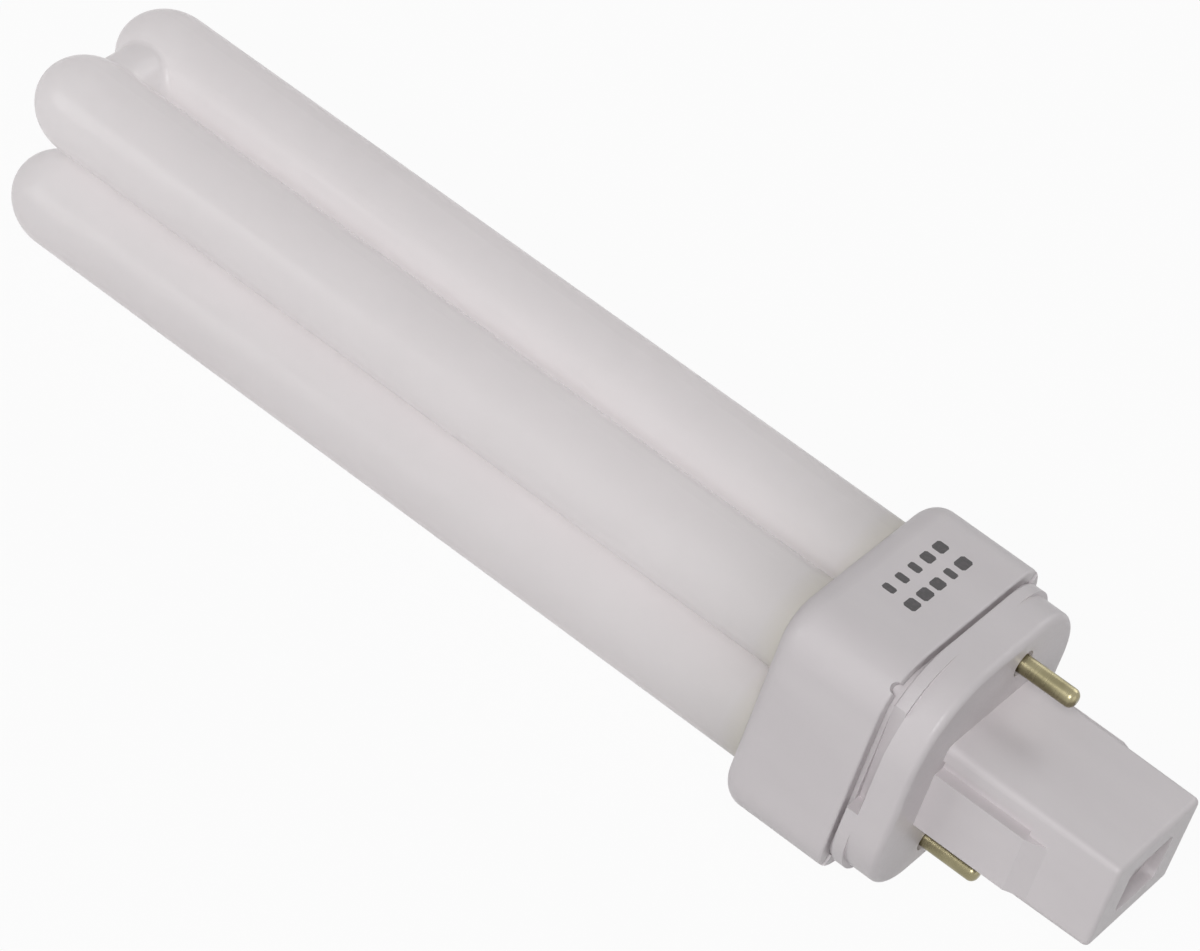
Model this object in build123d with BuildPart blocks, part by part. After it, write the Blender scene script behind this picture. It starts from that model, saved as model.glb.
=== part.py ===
from build123d import *

import os
from math import cos, radians, sin, tan

# Plug-in compact fluorescent bulb with a two-pin cap, in millimetres. It lies on one flat side of its
# housing: the axis runs along X, from the far ends of the glass legs to the post at +X, and +Z is up.
# The origin is on the floor, under the middle of the bulb. Every length along the axis is measured from
# the seat, the face of the flange that meets the lamp holder.

# Glass tube
tip_reach = 130.8  # seat to the far ends of the legs
leg_diameter = 11.7
leg_gap = 2.4  # clear space between two neighbouring legs
dome_length = 6.8  # of the tapering far end of a leg
leg_end_round = 3.0
bridge_diameter = 8.0
far_bridge_dip = 2.6  # far ends of the legs to the outside of the far bridges
blend_share = 0.43  # of the gap, the radius of the glass where a bridge meets a leg
base_bridge_gap = 6.0  # housing to the bridge near the base
pinch_width = 8.4
pinch_thickness = 2.8
pinch_length = 3.5
pinch_lead_spacing = 4.0

# Tube housing
leg_set = 6.9  # length of each leg inside the housing
socket_clearance = 0.2
socket_margin = 2.55  # plastic outside the sockets
corner_radius = 5.8
housing_wall = 1.5
crown_thickness = 2.5
rim_round = 3.0
foot_round = 0.3
wiring_space = 4.5  # between the pinched ends of the legs and the lip of the cap
corner_notch_radius = 0.7

# Basing cement
cement_thickness = 2.8
cement_clearance = 0.1

# Base cap
groove_width = 0.5  # open joint between the housing and the lip
lip_thickness = 1.6
lip_corner_radius = 9.0
lip_round = 0.25
flange_thickness = 4.0
flange_corner_radius = 10.5
seat_round = 0.9
cap_wall = 1.2
cap_floor = 1.8
spigot_clearance = 0.15
pry_notch_low = 2.8  # deep end of the notch in the front of the lip, below the middle
pry_notch_high = 12.5  # other end of the notch, above the middle
pry_notch_extra = 0.9  # depth of the notch at its deep end, inwards from the side of the spigot

# Post
post_length = 22.8
post_width = 17.0
post_height = 12.8
post_draft = 0.5  # degrees
post_corner = 1.0
post_end_round = 0.7
post_wall = 1.5
recess_width = 8.6
recess_height = 6.6
recess_depth = 1.6
end_wall = 1.5
key_height = 0.9
key_width = 7.9
key_offset = -1.25  # middle of the key, below the middle of the post's front side
key_length = 12.0
key_ramp = 2.5
relief_width = 1.5  # of the groove along the upper edge of the key at the front
relief_depth = 0.8

# Contact pins
pin_circle = 24.0
pin_angle = 16.0  # degrees, from the upright through the axis
pin_diameter = 2.3
pin_length = 7.2
pin_tip_round = 0.9
pin_recess_gap = 0.55  # round the foot of each pin, in the seat
pin_recess_depth = 0.5
shank_diameter = 1.8  # of the part of each pin that is held in the cap
shank_clearance = 0.05
shoulder_angle = 45.0  # degrees, between a pin's axis and its coned shoulder
boss_wall = 1.4

# Starter, capacitor and leads
starter_clearance = 0.3
starter_top = 3.0
starter_round = 2.5
starter_lead_spacing = 3.6
capacitor_length = 9.0
capacitor_thickness = 3.9
capacitor_round = 1.2
lead_diameter = 0.5
lead_bend = 1.0
solder_gap = 0.1

# Places along the axis, as distances from the seat towards the glass
lip_top = flange_thickness + lip_thickness
housing_foot = lip_top + groove_width
pinch_end = lip_top + wiring_space
leg_end = pinch_end + pinch_length
rim_reach = leg_end + leg_set

# Sizes across the axis
leg_radius = leg_diameter / 2
leg_pitch = leg_diameter + leg_gap
half_pitch = leg_pitch / 2
socket_radius = leg_radius + socket_clearance
housing_side = leg_pitch + 2 * (socket_radius + socket_margin)
cavity_side = housing_side - 2 * housing_wall
cavity_corner = corner_radius - housing_wall
spigot_side = cavity_side - 2 * spigot_clearance
spigot_corner = cavity_corner - spigot_clearance
pin_radius = pin_diameter / 2
shank_radius = shank_diameter / 2
pin_across = pin_circle / 2 * sin(radians(pin_angle))
pin_up = pin_circle / 2 * cos(radians(pin_angle))
pin_places = {"upper": (pin_across, pin_up), "lower": (-pin_across, -pin_up)}

# The seat plane: its own x is the bulb's +Y, its own y is up, and its normal points along the post.
seat = Plane(
    origin=((tip_reach - post_length) / 2, 0, housing_side / 2),
    x_dir=(0, 1, 0),
    z_dir=(1, 0, 0),
)


def station(distance):
    """The plane across the axis at this distance from the seat, positive towards the end of the post."""
    return seat.offset(distance)


def place(across, up, along):
    """The point at these distances from the middle of the seat, in the model's frame."""
    return seat.from_local_coords((across, up, along))


# Glass tube: four closed legs, joined by bridges into one path from electrode to electrode. The two legs
# at the front, -Y, hold the electrodes and end in flat pinches with two lead wires each.
with BuildPart() as discharge_tube:
    for across in (-half_pitch, half_pitch):
        for up in (-half_pitch, half_pitch):
            foot = place(across, up, 0)
            with BuildSketch(Plane(origin=foot, x_dir=(1, 0, 0), z_dir=(0, -1, 0))):
                with BuildLine():
                    dome_centre = (dome_length - tip_reach, 0)
                    dome = EllipticalCenterArc(dome_centre, dome_length, leg_radius, 90, arc_size=90)
                    shoulder_centre = (-leg_end - leg_end_round, leg_radius - leg_end_round)
                    shoulder = CenterArc(shoulder_centre, leg_end_round, 0, 90)
                    Line(dome @ 0, shoulder @ 1)
                    end_face = Line(shoulder @ 0, (-leg_end, 0))
                    Line(end_face @ 1, dome @ 1)
                make_face()
            revolve(axis=Axis(foot, (1, 0, 0)))
    far_bridge_reach = tip_reach - far_bridge_dip - bridge_diameter / 2
    for up in (-half_pitch, half_pitch):
        bridge_start = place(-half_pitch, up, -far_bridge_reach)
        with BuildSketch(Plane(origin=bridge_start, x_dir=(1, 0, 0), z_dir=(0, 1, 0))):
            Circle(bridge_diameter / 2)
        extrude(amount=leg_pitch)
    base_bridge_reach = rim_reach + base_bridge_gap + bridge_diameter / 2
    with BuildSketch(Plane(origin=place(half_pitch, -half_pitch, -base_bridge_reach))):
        Circle(bridge_diameter / 2)
    extrude(amount=leg_pitch)
    fillet(discharge_tube.edges().filter_by(GeomType.BSPLINE), blend_share * leg_gap)
    with BuildSketch(station(-leg_end - leg_end_round)):
        with Locations((-half_pitch, -half_pitch), (-half_pitch, half_pitch)):
            SlotOverall(pinch_width, pinch_thickness)
    extrude(amount=leg_end_round + pinch_length)

# Tube housing: a square cup with rounded corners, its crown bored for the four legs.
with BuildPart() as tube_housing:
    with BuildSketch(station(-rim_reach)):
        RectangleRounded(housing_side, housing_side, corner_radius)
    extrude(amount=rim_reach - housing_foot)
    fillet(tube_housing.faces().sort_by(Axis.X)[0].edges(), rim_round)
    fillet(tube_housing.faces().sort_by(Axis.X)[-1].edges(), foot_round)
    with BuildSketch(station(-housing_foot)):
        RectangleRounded(cavity_side, cavity_side, cavity_corner)
    extrude(amount=housing_foot + crown_thickness - rim_reach, mode=Mode.SUBTRACT)
    with BuildSketch(station(-rim_reach)):
        with GridLocations(leg_pitch, leg_pitch, 2, 2):
            Circle(socket_radius)
    extrude(amount=crown_thickness, mode=Mode.SUBTRACT)
    for side in (-1, 1):
        for level in (-1, 1):
            corner = place(side * housing_side / 2, level * housing_side / 2, -housing_foot)
            with BuildSketch(Plane(origin=corner, x_dir=(1, 0, 0), z_dir=(0, -side, -level))):
                Circle(corner_notch_radius)
            extrude(amount=corner_radius, mode=Mode.SUBTRACT)

# Basing cement: poured into the crown around the legs.
with BuildPart() as basing_cement:
    with BuildSketch(station(crown_thickness - rim_reach)):
        cement_side = cavity_side - 2 * cement_clearance
        RectangleRounded(cement_side, cement_side, cavity_corner - cement_clearance)
        with GridLocations(leg_pitch, leg_pitch, 2, 2):
            Circle(leg_radius + cement_clearance, mode=Mode.SUBTRACT)
    extrude(amount=cement_thickness)

# Base cap: a spigot in the housing, a lip and a thicker flange with rounder corners, and the hollow post with
# a sloped key on each narrow side. One moulding.
cap_cavity_side = spigot_side - 2 * cap_wall
post_end_width = post_width - 2 * post_length * tan(radians(post_draft))
post_end_height = post_height - 2 * post_length * tan(radians(post_draft))
post_cavity_width = post_end_width - 2 * post_wall
post_cavity_height = post_end_height - 2 * post_wall
post_cavity_end = post_length - recess_depth - end_wall
with BuildPart() as base_cap:
    with BuildSketch(station(-lip_top)):
        RectangleRounded(housing_side, housing_side, lip_corner_radius)
    extrude(amount=lip_thickness)
    fillet(base_cap.faces().sort_by(Axis.X)[0].edges(), lip_round)
    with BuildSketch(station(-lip_top)):
        RectangleRounded(spigot_side, spigot_side, spigot_corner)
    extrude(amount=-wiring_space)
    with BuildSketch(station(-flange_thickness)):
        RectangleRounded(housing_side, housing_side, flange_corner_radius)
    extrude(amount=flange_thickness)
    fillet(base_cap.faces().sort_by(Axis.X)[-1].edges(), seat_round)
    with BuildSketch(station(0)):
        RectangleRounded(post_width, post_height, post_corner)
    extrude(amount=post_length, taper=post_draft)
    fillet(base_cap.faces().sort_by(Axis.X)[-1].edges(), post_end_round)
    key_root = post_cavity_width / 2
    key_top = post_width / 2 + key_height
    key_end = key_length + key_ramp
    post_side = post_width / 2 - key_end * tan(radians(post_draft))
    for side in (-1, 1):
        key_foot = place(0, -side * key_offset - key_width / 2, 0)
        with BuildSketch(Plane(origin=key_foot)):
            with BuildLine():
                Polyline(
                    (0, side * key_root),
                    (0, side * key_top),
                    (key_length, side * key_top),
                    (key_end, side * post_side),
                    (key_end, side * key_root),
                    close=True,
                )
            make_face()
        extrude(amount=key_width)
    relief_side = post_width / 2 - relief_depth / 2
    relief_up = key_offset + key_width / 2 + relief_width / 2
    with BuildSketch(station(0)):
        with Locations((-relief_side, relief_up), (relief_side, -relief_up)):
            Rectangle(relief_depth, relief_width)
    extrude(amount=key_length, mode=Mode.SUBTRACT)
    with BuildSketch(station(-pinch_end)):
        RectangleRounded(cap_cavity_side, cap_cavity_side, spigot_corner - cap_wall)
    extrude(amount=pinch_end - cap_floor, mode=Mode.SUBTRACT)
    with BuildSketch(station(-cap_floor)):
        with Locations(*pin_places.values()):
            Circle(shank_radius + boss_wall)
        RectangleRounded(spigot_side, spigot_side, spigot_corner, mode=Mode.INTERSECT)
    extrude(amount=cap_floor - lip_top)
    with BuildSketch(station(0)):
        with Locations(*pin_places.values()):
            Circle(pin_radius + pin_recess_gap)
    extrude(amount=-pin_recess_depth, mode=Mode.SUBTRACT)
    pin_feet = [place(*spot, -pin_recess_depth) for spot in pin_places.values()]
    with Locations(*[Plane(origin=foot, z_dir=seat.z_dir) for foot in pin_feet]):
        CounterSinkHole(
            radius=shank_radius + shank_clearance,
            counter_sink_radius=pin_radius + shank_clearance,
            depth=lip_top - pin_recess_depth,
            counter_sink_angle=2 * shoulder_angle,
        )
    with BuildSketch(station(-cap_floor)):
        Rectangle(post_cavity_width, post_cavity_height)
    extrude(amount=cap_floor + post_cavity_end, mode=Mode.SUBTRACT)
    with BuildSketch(station(post_length)):
        RectangleRounded(recess_width, recess_height, post_corner)
    extrude(amount=-recess_depth, mode=Mode.SUBTRACT)
    lip_side = housing_side / 2
    for side in (-1, 1):
        with BuildSketch(station(-lip_top)):
            with BuildLine():
                Polyline(
                    (side * lip_side, side * pry_notch_low),
                    (side * (spigot_side / 2 - pry_notch_extra), side * pry_notch_low),
                    (side * spigot_side / 2, -side * pry_notch_high),
                    (side * lip_side, -side * pry_notch_high),
                    close=True,
                )
            make_face()
        extrude(amount=lip_thickness, mode=Mode.SUBTRACT)


def contact_pin(across, up):
    """A turned brass pin with a rounded tip: its coned shoulder sits at the bottom of a shallow recess in the
    seat, and its shank runs on through the boss."""
    shoulder_depth = (pin_radius - shank_radius) / tan(radians(shoulder_angle))
    with BuildPart() as pin:
        with BuildSketch(station(-pin_recess_depth)):
            with Locations((across, up)):
                Circle(pin_radius)
        extrude(amount=pin_recess_depth + pin_length)
        fillet(pin.faces().sort_by(Axis.X)[-1].edges(), pin_tip_round)
        extrude(pin.faces().sort_by(Axis.X)[0], amount=shoulder_depth, taper=shoulder_angle)
        extrude(pin.faces().sort_by(Axis.X)[0], amount=lip_top - pin_recess_depth - shoulder_depth)
    return pin


contact_pins = {f"contact_pin_{name}": contact_pin(*spot) for name, spot in pin_places.items()}

# Glow starter: a small sealed bottle that nearly fills the front of the post.
starter_room = min(post_cavity_height, post_cavity_width - capacitor_thickness - starter_clearance)
starter_radius = starter_room / 2 - starter_clearance
starter_across = starter_radius + starter_clearance - post_cavity_width / 2
starter_end = post_cavity_end - starter_clearance
with BuildPart() as glow_starter:
    with BuildSketch(station(starter_top)):
        with Locations((starter_across, 0)):
            Circle(starter_radius)
    extrude(amount=starter_end - starter_top)
    fillet(glow_starter.faces().sort_by(Axis.X)[-1].edges(), starter_round)


def lead_wire(*points):
    """A round wire through these places, given from the middle of the seat, with bent corners."""
    with BuildPart() as wire:
        with BuildLine() as route:
            FilletPolyline(*[place(*point) for point in points], radius=lead_bend)
        with BuildSketch(Plane(origin=route.line @ 0, z_dir=route.line % 0)):
            Circle(lead_diameter / 2)
        sweep(path=route.line)
    return wire


# Capacitor: a dipped block beside the starter, in parallel with it through its own two wires.
capacitor_across = post_cavity_width / 2 - starter_clearance - capacitor_thickness / 2
capacitor_height = post_cavity_height - 2 * starter_clearance
capacitor_top = starter_end - capacitor_length
solder_across = starter_across + lead_diameter + solder_gap
capacitor_wires = [
    lead_wire(
        (capacitor_across, up, capacitor_top + lead_diameter),
        (capacitor_across, up, 0),
        (solder_across, up, 0),
    )
    for up in (-starter_lead_spacing / 2, starter_lead_spacing / 2)
]
with BuildPart() as starter_capacitor:
    with BuildSketch(station(capacitor_top)):
        with Locations((capacitor_across, 0)):
            RectangleRounded(capacitor_thickness, capacitor_height, capacitor_round)
    extrude(amount=capacitor_length)
    for wire in capacitor_wires:
        add(wire.part)

# Leads: from each electrode one wire runs to its pin and one to the starter.
leads = {}
for name, level in (("upper", 1), ("lower", -1)):
    pin_spot = pin_places[name]
    pinch_up = level * half_pitch
    outer = -half_pitch - pinch_lead_spacing / 2
    inner = -half_pitch + pinch_lead_spacing / 2
    crossing = -lip_top - wiring_space / 2
    leads[f"pin_lead_{name}"] = lead_wire(
        (outer, pinch_up, -pinch_end),
        (outer, pinch_up, crossing),
        (*pin_spot, crossing),
        (*pin_spot, -lip_top),
    )
    starter_up = level * starter_lead_spacing / 2
    leads[f"starter_lead_{name}"] = lead_wire(
        (inner, pinch_up, -pinch_end),
        (inner, pinch_up, crossing),
        (starter_across, starter_up, crossing),
        (starter_across, starter_up, starter_top),
    )

os.makedirs("parts", exist_ok=True)
pieces = {
    "discharge_tube": discharge_tube,
    "tube_housing": tube_housing,
    "basing_cement": basing_cement,
    "base_cap": base_cap,
    "glow_starter": glow_starter,
    "starter_capacitor": starter_capacitor,
    **contact_pins,
    **leads,
}
for name, piece in pieces.items():
    piece.part.label = name
    export_step(piece.part, f"parts/{name}.step")
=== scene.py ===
from math import pi, radians

import bpy
from mathutils import Matrix, Quaternion, Vector


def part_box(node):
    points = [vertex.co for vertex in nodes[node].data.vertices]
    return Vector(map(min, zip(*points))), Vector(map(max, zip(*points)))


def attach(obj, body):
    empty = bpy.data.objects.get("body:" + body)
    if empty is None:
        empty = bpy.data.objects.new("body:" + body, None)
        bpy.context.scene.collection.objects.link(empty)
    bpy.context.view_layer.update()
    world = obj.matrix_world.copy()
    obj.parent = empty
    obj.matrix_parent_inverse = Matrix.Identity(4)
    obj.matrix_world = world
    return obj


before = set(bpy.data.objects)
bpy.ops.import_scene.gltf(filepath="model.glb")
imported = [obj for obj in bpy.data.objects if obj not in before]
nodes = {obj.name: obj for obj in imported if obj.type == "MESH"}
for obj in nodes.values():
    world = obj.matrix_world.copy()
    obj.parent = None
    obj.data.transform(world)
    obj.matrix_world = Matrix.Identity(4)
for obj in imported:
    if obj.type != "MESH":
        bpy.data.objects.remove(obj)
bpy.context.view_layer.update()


# Discharge tube: four closed legs of drawn glass tubing, fused into one path by short bridges. A white coat
# of phosphor lines the inside, so that light soaks through the thin wall and the legs glow into each other
# under a clear gloss. The coat turns darker and yellower over the last 3 mm of each leg before the housing.
def new_material(name):
    """A node material with its Principled shader and its Object coordinates, ready to be wired."""
    material = bpy.data.materials.new(name)
    material.use_nodes = True
    tree = material.node_tree
    shader = tree.nodes["Principled BSDF"]
    place = tree.nodes.new("ShaderNodeTexCoord").outputs["Object"]
    return material, tree, shader, place


def stretched(tree, place, stretch):
    """The coordinates with each axis scaled, for a pattern that is longer one way than another."""
    mapping = tree.nodes.new("ShaderNodeMapping")
    mapping.inputs["Scale"].default_value = stretch
    tree.links.new(place, mapping.inputs["Vector"])
    return mapping.outputs["Vector"]


def clouds(tree, place, patches, detail=3.0):
    """Soft noise between 0 and 1, with about this many patches to a metre."""
    noise = tree.nodes.new("ShaderNodeTexNoise")
    noise.inputs["Scale"].default_value = patches
    noise.inputs["Detail"].default_value = detail
    tree.links.new(place, noise.inputs["Vector"])
    return noise.outputs["Fac"]


def between(tree, amount, low, high, start=0.35, end=0.65):
    """A number that goes from low to high while amount goes from start to end."""
    span = tree.nodes.new("ShaderNodeMapRange")
    span.inputs["From Min"].default_value = start
    span.inputs["From Max"].default_value = end
    span.inputs["To Min"].default_value = low
    span.inputs["To Max"].default_value = high
    tree.links.new(amount, span.inputs["Value"])
    return span.outputs["Result"]


def tint(tree, amount, first, second):
    """A colour between two, each a colour or another node's output, by amount."""
    mix = tree.nodes.new("ShaderNodeMix")
    mix.data_type = "RGBA"
    tree.links.new(amount, mix.inputs["Factor"])
    for socket, colour in ((mix.inputs[6], first), (mix.inputs[7], second)):
        if isinstance(colour, bpy.types.NodeSocket):
            tree.links.new(colour, socket)
        else:
            socket.default_value = (*colour, 1.0)
    return mix.outputs[2]


def roughened(tree, shader, pattern, smooth, rough):
    """Gives the surface a roughness between these two by this pattern."""
    tree.links.new(between(tree, pattern, smooth, rough), shader.inputs["Roughness"])


def relief(tree, shader, height, depth):
    """Raises the surface by this height pattern, with its depth in metres."""
    bump = tree.nodes.new("ShaderNodeBump")
    bump.inputs["Distance"].default_value = depth
    tree.links.new(height, bump.inputs["Height"])
    tree.links.new(bump.outputs["Normal"], shader.inputs["Normal"])


def mixed(tree, share, first, second, output):
    """Shows a mix of two shaders, with this share of the second, a number or another node's output."""
    mix = tree.nodes.new("ShaderNodeMixShader")
    if isinstance(share, bpy.types.NodeSocket):
        tree.links.new(share, mix.inputs["Fac"])
    else:
        mix.inputs["Fac"].default_value = share
    tree.links.new(first, mix.inputs[1])
    tree.links.new(second, mix.inputs[2])
    tree.links.new(mix.outputs["Shader"], tree.nodes[output].inputs["Surface"])


def dress(node, material):
    """Gives a CAD node this finish."""
    mesh = nodes[node].data
    mesh.materials.clear()
    mesh.materials.append(material)


coat_white = (0.890, 0.869, 0.873)
coat_cloud = (0.878, 0.857, 0.861)
coat_by_housing = (0.805, 0.782, 0.680)
coat_patches = 90.0
housing_band_length = 0.003
housing_band_share = 0.6
passed_light = 0.5
glass_index = 1.5
glass_roughness = (0.14, 0.26)
draw_stretch = (0.06, 1.0, 1.0)
draw_streaks = 700.0
draw_waves = 260.0
wave_depth = 0.00004
housing_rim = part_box("tube_housing")[0][0]

coated_glass, tree, shader, place = new_material("coated_glass")
coat = tint(tree, between(tree, clouds(tree, place, coat_patches), 0.0, 1.0), coat_white, coat_cloud)
along = tree.nodes.new("ShaderNodeSeparateXYZ")
tree.links.new(place, along.inputs["Vector"])
# The coat turns darker and yellower over the last few millimetres of each leg before the housing.
towards_housing = between(tree, along.outputs["X"], 0.0, housing_band_share, housing_rim - housing_band_length, housing_rim)
coat = tint(tree, towards_housing, coat, coat_by_housing)
tree.links.new(coat, shader.inputs["Base Color"])
drawn = stretched(tree, place, draw_stretch)
roughened(tree, shader, clouds(tree, drawn, draw_streaks), *glass_roughness)
relief(tree, shader, clouds(tree, drawn, draw_waves, detail=1.0), wave_depth)
shader.inputs["IOR"].default_value = glass_index
thin_wall = tree.nodes.new("ShaderNodeBsdfTranslucent")
tree.links.new(coat, thin_wall.inputs["Color"])
mixed(tree, passed_light, shader.outputs["BSDF"], thin_wall.outputs["BSDF"], "Material Output")
dress("discharge_tube", coated_glass)


# Tube housing: a square cup moulded in white thermoplastic with a fine satin grain. Its crown is bored for
# the four legs, and it is pressed over the spigot of the cap.
def two_toned(tree, shader, pattern, first, second):
    """Colours the surface between these two tones by this pattern."""
    tone = tint(tree, between(tree, pattern, 0.0, 1.0), first, second)
    tree.links.new(tone, shader.inputs["Base Color"])


plastic_white = (0.720, 0.680, 0.694)
plastic_cloud = (0.687, 0.647, 0.662)
plastic_index = 1.5
plastic_roughness = (0.36, 0.50)
flow_stretch = (0.35, 1.0, 1.0)
flow_patches = 120.0
grain_patches = 2600.0
grain_depth = 0.000015

white_plastic, tree, shader, place = new_material("white_plastic")
flow = clouds(tree, stretched(tree, place, flow_stretch), flow_patches)
two_toned(tree, shader, flow, plastic_white, plastic_cloud)
grain = clouds(tree, place, grain_patches, detail=2.0)
roughened(tree, shader, grain, *plastic_roughness)
relief(tree, shader, grain, grain_depth)
shader.inputs["IOR"].default_value = plastic_index
dress("tube_housing", white_plastic)


# Printed marks: rows of plain dark dashes on the upper side of the housing, laid on by a soft pad in ink
# that is a little worn. Each dash is a thin film with rounded corners.
rows_of_marks = 2
marks_in_a_row = 5
row_spacing = 0.0031
mark_spacing = 0.0025
mark_height = 0.0016
shortest_mark = 0.55
longest_mark = 1.3
mark_corner = 0.00025
mark_seed = 4
ink_thickness = 0.00001
weld_distance = 0.000001
print_middle = (0.0408, 0.0012)
ink_dark = (0.040, 0.036, 0.038)
ink_worn = (0.085, 0.078, 0.082)
ink_roughness = (0.45, 0.65)
wear_patches = 1900.0
wear_start = 0.45
wear_end = 0.70

print_ink, tree, shader, place = new_material("print_ink")
worn = between(tree, clouds(tree, place, wear_patches, detail=4.0), 0.0, 1.0, wear_start, wear_end)
tree.links.new(tint(tree, worn, ink_dark, ink_worn), shader.inputs["Base Color"])
tree.links.new(between(tree, worn, *ink_roughness, 0.0, 1.0), shader.inputs["Roughness"])

marks_tree = bpy.data.node_groups.new("printed_marks", "GeometryNodeTree")
marks_tree.interface.new_socket("Geometry", in_out="OUTPUT", socket_type="NodeSocketGeometry")
marks_sizes = {}
for name, kind, value in (
    ("Rows", "NodeSocketInt", rows_of_marks),
    ("Marks in a row", "NodeSocketInt", marks_in_a_row),
    ("Row spacing", "NodeSocketFloat", row_spacing),
    ("Mark spacing", "NodeSocketFloat", mark_spacing),
    ("Mark height", "NodeSocketFloat", mark_height),
    ("Shortest mark", "NodeSocketFloat", shortest_mark),
    ("Longest mark", "NodeSocketFloat", longest_mark),
    ("Corner radius", "NodeSocketFloat", mark_corner),
    ("Ink thickness", "NodeSocketFloat", ink_thickness),
    ("Seed", "NodeSocketInt", mark_seed),
):
    marks_sizes[marks_tree.interface.new_socket(name, in_out="INPUT", socket_type=kind).identifier] = value
given = marks_tree.nodes.new("NodeGroupInput").outputs


def marks_node(kind, **links):
    """A node of the marks' tree with its linked inputs."""
    node = marks_tree.nodes.new(kind)
    for name, source in links.items():
        marks_tree.links.new(source, node.inputs[name.replace("_", " ")])
    return node


def spread(count, spacing):
    """The length of a row of this many places, spacing apart."""
    gaps = marks_tree.nodes.new("ShaderNodeMath")
    gaps.operation = "SUBTRACT"
    gaps.inputs[1].default_value = 1.0
    marks_tree.links.new(count, gaps.inputs[0])
    length = marks_tree.nodes.new("ShaderNodeMath")
    length.operation = "MULTIPLY"
    marks_tree.links.new(gaps.outputs[0], length.inputs[0])
    marks_tree.links.new(spacing, length.inputs[1])
    return length.outputs[0]


grid = marks_node(
    "GeometryNodeMeshGrid",
    Size_X=spread(given["Marks in a row"], given["Mark spacing"]),
    Size_Y=spread(given["Rows"], given["Row spacing"]),
    Vertices_X=given["Marks in a row"],
    Vertices_Y=given["Rows"],
)
outline = marks_node(
    "GeometryNodeCurvePrimitiveQuadrilateral", Width=given["Mark height"], Height=given["Mark height"]
)
rounded = marks_node(
    "GeometryNodeFilletCurve", Curve=outline.outputs["Curve"], Radius=given["Corner radius"]
)
film = marks_node("GeometryNodeFillCurve", Curve=rounded.outputs["Curve"])
raised = marks_node(
    "GeometryNodeExtrudeMesh", Mesh=film.outputs["Mesh"], Offset_Scale=given["Ink thickness"]
)
underside = marks_node("GeometryNodeFlipFaces", Mesh=film.outputs["Mesh"])
both = marks_node("GeometryNodeJoinGeometry", Geometry=raised.outputs["Mesh"])
marks_tree.links.new(underside.outputs["Mesh"], both.inputs["Geometry"])
closed = marks_node("GeometryNodeMergeByDistance", Geometry=both.outputs["Geometry"])
closed.inputs["Distance"].default_value = weld_distance
lengths = marks_node(
    "FunctionNodeRandomValue",
    Min=given["Shortest mark"],
    Max=given["Longest mark"],
    Seed=given["Seed"],
)
sizes = marks_node("ShaderNodeCombineXYZ", X=lengths.outputs[1])
sizes.inputs["Y"].default_value = 1.0
sizes.inputs["Z"].default_value = 1.0
marks = marks_node(
    "GeometryNodeInstanceOnPoints",
    Points=grid.outputs["Mesh"],
    Instance=closed.outputs["Geometry"],
    Scale=sizes.outputs["Vector"],
)
real = marks_node("GeometryNodeRealizeInstances", Geometry=marks.outputs["Instances"])
inked = marks_node("GeometryNodeSetMaterial", Geometry=real.outputs["Geometry"])
inked.inputs["Material"].default_value = print_ink
marks_node("NodeGroupOutput", Geometry=inked.outputs["Geometry"])


def grown(name, tree, sizes, move):
    """The plain mesh that a geometry tree gives with these sizes, moved to its place, as a piece."""
    seed = bpy.data.objects.new(name, bpy.data.meshes.new(name))
    bpy.context.scene.collection.objects.link(seed)
    modifier = seed.modifiers.new(name, "NODES")
    modifier.node_group = tree
    for identifier, value in sizes.items():
        modifier[identifier] = value
    evaluated = seed.evaluated_get(bpy.context.evaluated_depsgraph_get())
    mesh = bpy.data.meshes.new_from_object(evaluated)
    seed.modifiers.remove(modifier)
    mesh.name = name
    mesh.transform(move)
    seed.data = mesh
    return seed


print_place = Matrix.Translation(Vector((*print_middle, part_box("tube_housing")[1][2])))
rows_across = Matrix.Rotation(pi / 2, 4, "Z")
printed_marks = grown("printed_marks", marks_tree, marks_sizes, print_place @ rows_across)
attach(printed_marks, "root")


# Basing cement: a chalky ceramic paste, poured into the crown of the housing round the legs and baked hard.
cement_pale = (0.560, 0.520, 0.450)
cement_dark = (0.430, 0.400, 0.350)
cement_roughness = (0.80, 0.95)
grit_grains = 900.0
grit_depth = 0.00008

cement, tree, shader, place = new_material("cement")
grit = clouds(tree, place, grit_grains, detail=6.0)
two_toned(tree, shader, grit, cement_pale, cement_dark)
roughened(tree, shader, grit, *cement_roughness)
relief(tree, shader, grit, grit_depth)
dress("basing_cement", cement)


# Glow starter: a small blown glass bottle with a gas filling, closed by a pinch with two wires. It stands in
# the hollow post.
bottle_clear = (0.800, 0.830, 0.830)
bottle_smoke = (0.620, 0.640, 0.650)
bottle_roughness = (0.04, 0.12)
bottle_clearness = 0.7
smoke_patches = 240.0

starter_glass, tree, shader, place = new_material("starter_glass")
smoke = clouds(tree, place, smoke_patches)
two_toned(tree, shader, smoke, bottle_clear, bottle_smoke)
roughened(tree, shader, smoke, *bottle_roughness)
shader.inputs["Transmission Weight"].default_value = bottle_clearness
shader.inputs["IOR"].default_value = glass_index
dress("glow_starter", starter_glass)


# Capacitor: a wound block dipped in amber resin, soldered across the two wires of the starter.
resin_amber = (0.340, 0.130, 0.025)
resin_dark = (0.240, 0.080, 0.015)
resin_roughness = (0.18, 0.32)
resin_pools = 380.0
pool_depth = 0.0001

capacitor_dip, tree, shader, place = new_material("capacitor_dip")
pooled = clouds(tree, place, resin_pools)
two_toned(tree, shader, pooled, resin_amber, resin_dark)
roughened(tree, shader, pooled, *resin_roughness)
relief(tree, shader, pooled, pool_depth)
dress("starter_capacitor", capacitor_dip)


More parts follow.
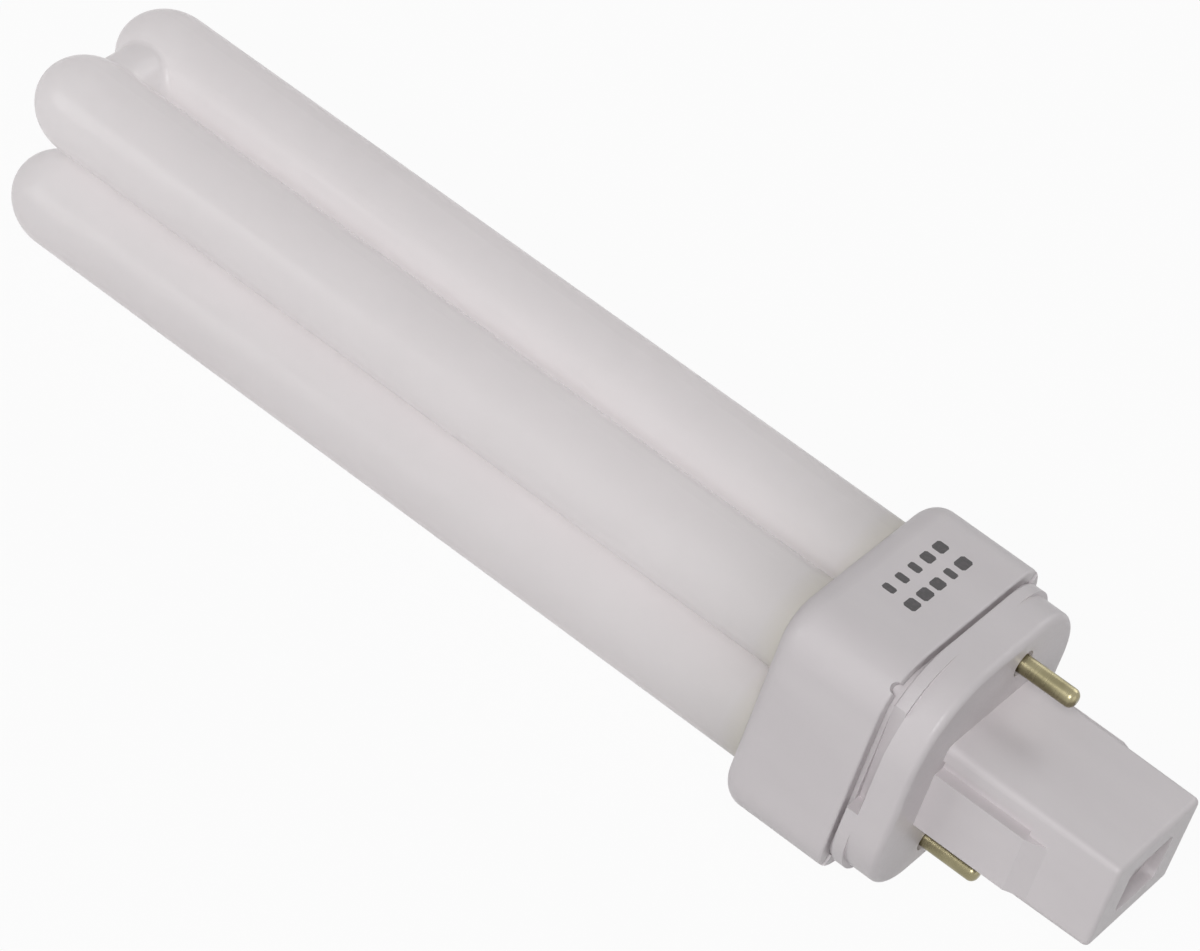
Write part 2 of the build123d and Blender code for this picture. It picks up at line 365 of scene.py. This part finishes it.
# Leads: drawn wires with a dull nickel plate, from the electrodes in the pinched legs to the pins and to the
# starter, with a round bend at each corner.
nickel_bright = (0.560, 0.540, 0.500)
nickel_dull = (0.400, 0.385, 0.360)
nickel_roughness = (0.28, 0.45)
plate_patches = 1500.0

lead_wire, tree, shader, place = new_material("lead_wire")
plate = clouds(tree, place, plate_patches)
two_toned(tree, shader, plate, nickel_bright, nickel_dull)
roughened(tree, shader, plate, *nickel_roughness)
shader.inputs["Metallic"].default_value = 1.0
for lead in ("pin_lead_upper", "pin_lead_lower", "starter_lead_upper", "starter_lead_lower"):
    dress(lead, lead_wire)


# Contact pins: turned from brass rod with a rounded tip, and pressed through the bosses of the cap. The
# turning leaves fine rings, and the brass has dulled to olive.
brass_bright = (0.340, 0.305, 0.190)
brass_dull = (0.230, 0.205, 0.120)
brass_roughness = (0.25, 0.36)
tarnish_patches = 300.0
ring_stretch = (1.0, 0.04, 0.04)
ring_lines = 7000.0
ring_depth = 0.000006

pin_brass, tree, shader, place = new_material("pin_brass")
rings = clouds(tree, stretched(tree, place, ring_stretch), ring_lines, detail=2.0)
two_toned(tree, shader, clouds(tree, place, tarnish_patches, detail=2.0), brass_bright, brass_dull)
roughened(tree, shader, rings, *brass_roughness)
relief(tree, shader, rings, ring_depth)
shader.inputs["Metallic"].default_value = 1.0
for pin in ("contact_pin_upper", "contact_pin_lower"):
    dress(pin, pin_brass)


# Base cap: one moulding of the housing's plastic, with its spigot, lip, flange and hollow keyed post. It is
# pushed into the housing last and closes the wiring in.
dress("base_cap", white_plastic)


# Stage: a pale paper floor that shows as white, under soft studio light from the front, the back and both
# ends, seen from above the front of the cap.
floor_pale = (0.6, 0.6, 0.6)
floor_half = 2.0
paper_roughness = (0.90, 1.0)
fibre_patches = 60.0
fill_level = 0.10
backdrop_share = 0.95
backdrop_white = (1.0, 1.0, 1.0, 1.0)
panel_distance = 1.6

floor_mesh = bpy.data.meshes.new("floor")
floor_corners = [(x * floor_half, y * floor_half, 0) for x, y in ((-1, -1), (1, -1), (1, 1), (-1, 1))]
floor_mesh.from_pydata(floor_corners, [], [(0, 1, 2, 3)])
floor = bpy.data.objects.new("floor", floor_mesh)
bpy.context.scene.collection.objects.link(floor)


def seen_rays(tree, share):
    """This share for rays that show the backdrop to the camera, in gloss or through glass, or else 0."""
    rays = tree.nodes.new("ShaderNodeLightPath").outputs
    total = rays["Is Camera Ray"]
    for kind in ("Is Glossy Ray", "Is Transmission Ray"):
        either = tree.nodes.new("ShaderNodeMath")
        either.operation = "MAXIMUM"
        tree.links.new(total, either.inputs[0])
        tree.links.new(rays[kind], either.inputs[1])
        total = either.outputs[0]
    part = tree.nodes.new("ShaderNodeMath")
    part.operation = "MULTIPLY"
    part.inputs[1].default_value = share
    tree.links.new(total, part.inputs[0])
    return part.outputs[0]


floor_paper, tree, shader, place = new_material("floor_paper")
shader.inputs["Base Color"].default_value = (*floor_pale, 1.0)
roughened(tree, shader, clouds(tree, place, fibre_patches), *paper_roughness)
shader.inputs["Specular IOR Level"].default_value = 0.0
glow = tree.nodes.new("ShaderNodeEmission")
glow.inputs["Color"].default_value = backdrop_white
glow.inputs["Strength"].default_value = 1.0
seen = seen_rays(tree, backdrop_share)
mixed(tree, seen, shader.outputs["BSDF"], glow.outputs["Emission"], "Material Output")
floor_mesh.materials.append(floor_paper)

world = bpy.data.worlds.new("studio")
bpy.context.scene.world = world
world.use_nodes = True
tree = world.node_tree
fill = tree.nodes["Background"]
fill.inputs["Color"].default_value = backdrop_white
fill.inputs["Strength"].default_value = fill_level
backdrop = tree.nodes.new("ShaderNodeBackground")
backdrop.inputs["Color"].default_value = backdrop_white
backdrop.inputs["Strength"].default_value = 1.0
seen = seen_rays(tree, 1.0)
mixed(tree, seen, fill.outputs["Background"], backdrop.outputs["Background"], "World Output")


def panel(name, towards, side, level):
    """A square soft light in this direction from the bulb. Its level is the white of a facing surface."""
    light = bpy.data.lights.new(name, "AREA")
    light.shape = "SQUARE"
    light.size = side
    light.energy = level * pi * pi * panel_distance * panel_distance
    lamp = bpy.data.objects.new(name, light)
    bpy.context.scene.collection.objects.link(lamp)
    lamp.location = Vector(towards).normalized() * panel_distance
    lamp.rotation_mode = "QUATERNION"
    lamp.rotation_quaternion = Vector(towards).to_track_quat("Z", "Y")


panel("front_panel", (0.20, -0.73, 0.65), side=0.6, level=0.50)
panel("back_panel", (0.12, 0.83, 0.54), side=1.0, level=0.29)
panel("post_panel", (1.0, 0.0, 0.30), side=1.0, level=0.09)
panel("glass_panel", (-0.64, -0.74, 0.20), side=1.0, level=0.23)

camera_place = Vector((0.19158, -0.42503, 0.41843))
camera_aim = Vector((0.00113, 0.00061, 0.01565))
camera_roll = radians(19.582)
camera_lens = 166.84
camera_sensor = 36.0

camera_data = bpy.data.cameras.new("camera")
camera_data.sensor_width = camera_sensor
camera_data.lens = camera_lens
camera = bpy.data.objects.new("camera", camera_data)
bpy.context.scene.collection.objects.link(camera)
camera.location = camera_place
camera.rotation_mode = "QUATERNION"
level_view = (camera_aim - camera_place).to_track_quat("-Z", "Y")
camera.rotation_quaternion = level_view @ Quaternion((0, 0, 1), camera_roll)
bpy.context.scene.camera = camera

bpy.context.scene.view_settings.view_transform = "Standard"
